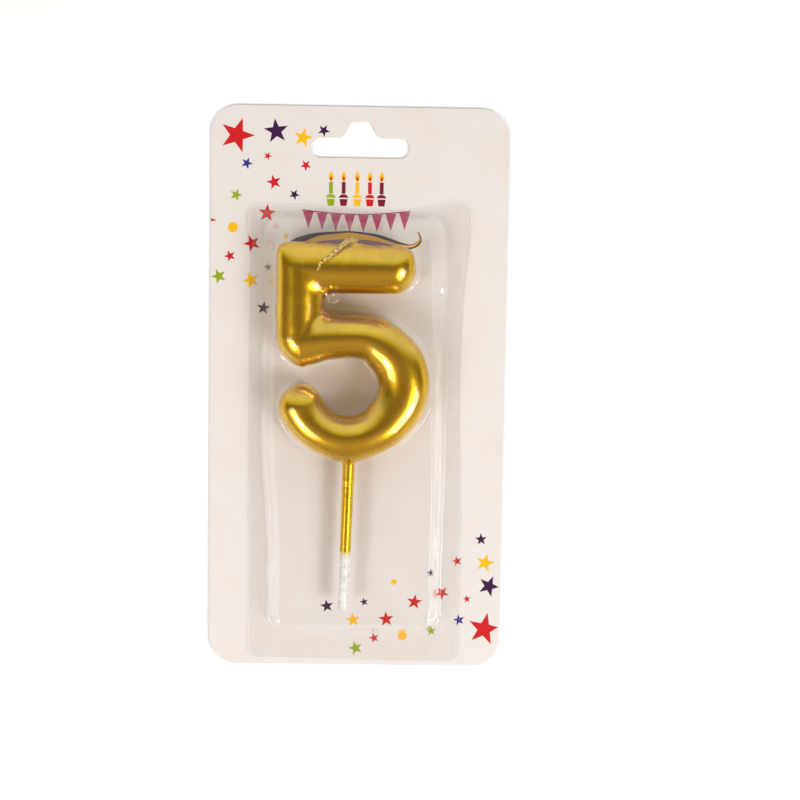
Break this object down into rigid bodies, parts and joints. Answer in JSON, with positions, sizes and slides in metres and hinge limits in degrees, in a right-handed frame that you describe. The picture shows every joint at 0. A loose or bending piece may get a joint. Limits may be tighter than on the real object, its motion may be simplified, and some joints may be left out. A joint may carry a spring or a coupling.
{
  "type": "number birthday candle",
  "caption": "Gold numeral-five birthday candle on a pick, laid in a clear blister that peels off a printed hanging card.",
  "frame": {"origin": "middle of the card's back face, with the pack lying on its back", "axes": "+Z out through the blister, +Y up the card towards the hang hole, +X to the right seen from the front"},
  "size_m": [0.0962, 0.183, 0.0174],
  "materials": {
    "printed_board": "satin",
    "seal_lacquer": "satin",
    "clear_film": "polished",
    "paraffin_wax": "satin",
    "gold_lacquer": "gloss",
    "pick_plastic": "satin",
    "wick_cotton": "matte"
  },
  "bodies": {
    "card": {"backing_card": "printed_board", "heat_seal_band": "seal_lacquer"},
    "blister": {"blister_shell": "clear_film"},
    "candle": {"wax_numeral": "paraffin_wax", "numeral_gold_coat": "gold_lacquer", "cake_pick": "pick_plastic", "pick_gold_coat": "gold_lacquer", "wick_core": "wick_cotton"},
    "wick": {"wick_tail": "wick_cotton"}
  },
  "joints": [
    {"name": "blister_peel", "type": "hinge", "parent": "card", "child": "blister", "pos_m": [-0.03551, 0, 0.00085], "axis": [0, -1, 0], "range_deg": [0, 110]},
    {"name": "candle_lift", "type": "slide", "parent": "card", "child": "candle", "axis": [0, 0, 1], "range_m": [0, 0.01901]},
    {"name": "wick_straighten", "type": "hinge", "parent": "candle", "child": "wick", "pos_m": [-0.00191, 0.04825, 0.0074], "axis": [-0.6509, 0, -0.7592], "range_deg": [0, 100]}
  ],
  "couplings": [
    {"joint": "candle_lift", "follows": "blister_peel", "m_per_rad": 0.0099},
    {"joint": "wick_straighten", "follows": "blister_peel", "ratio": 0.909}
  ]
}
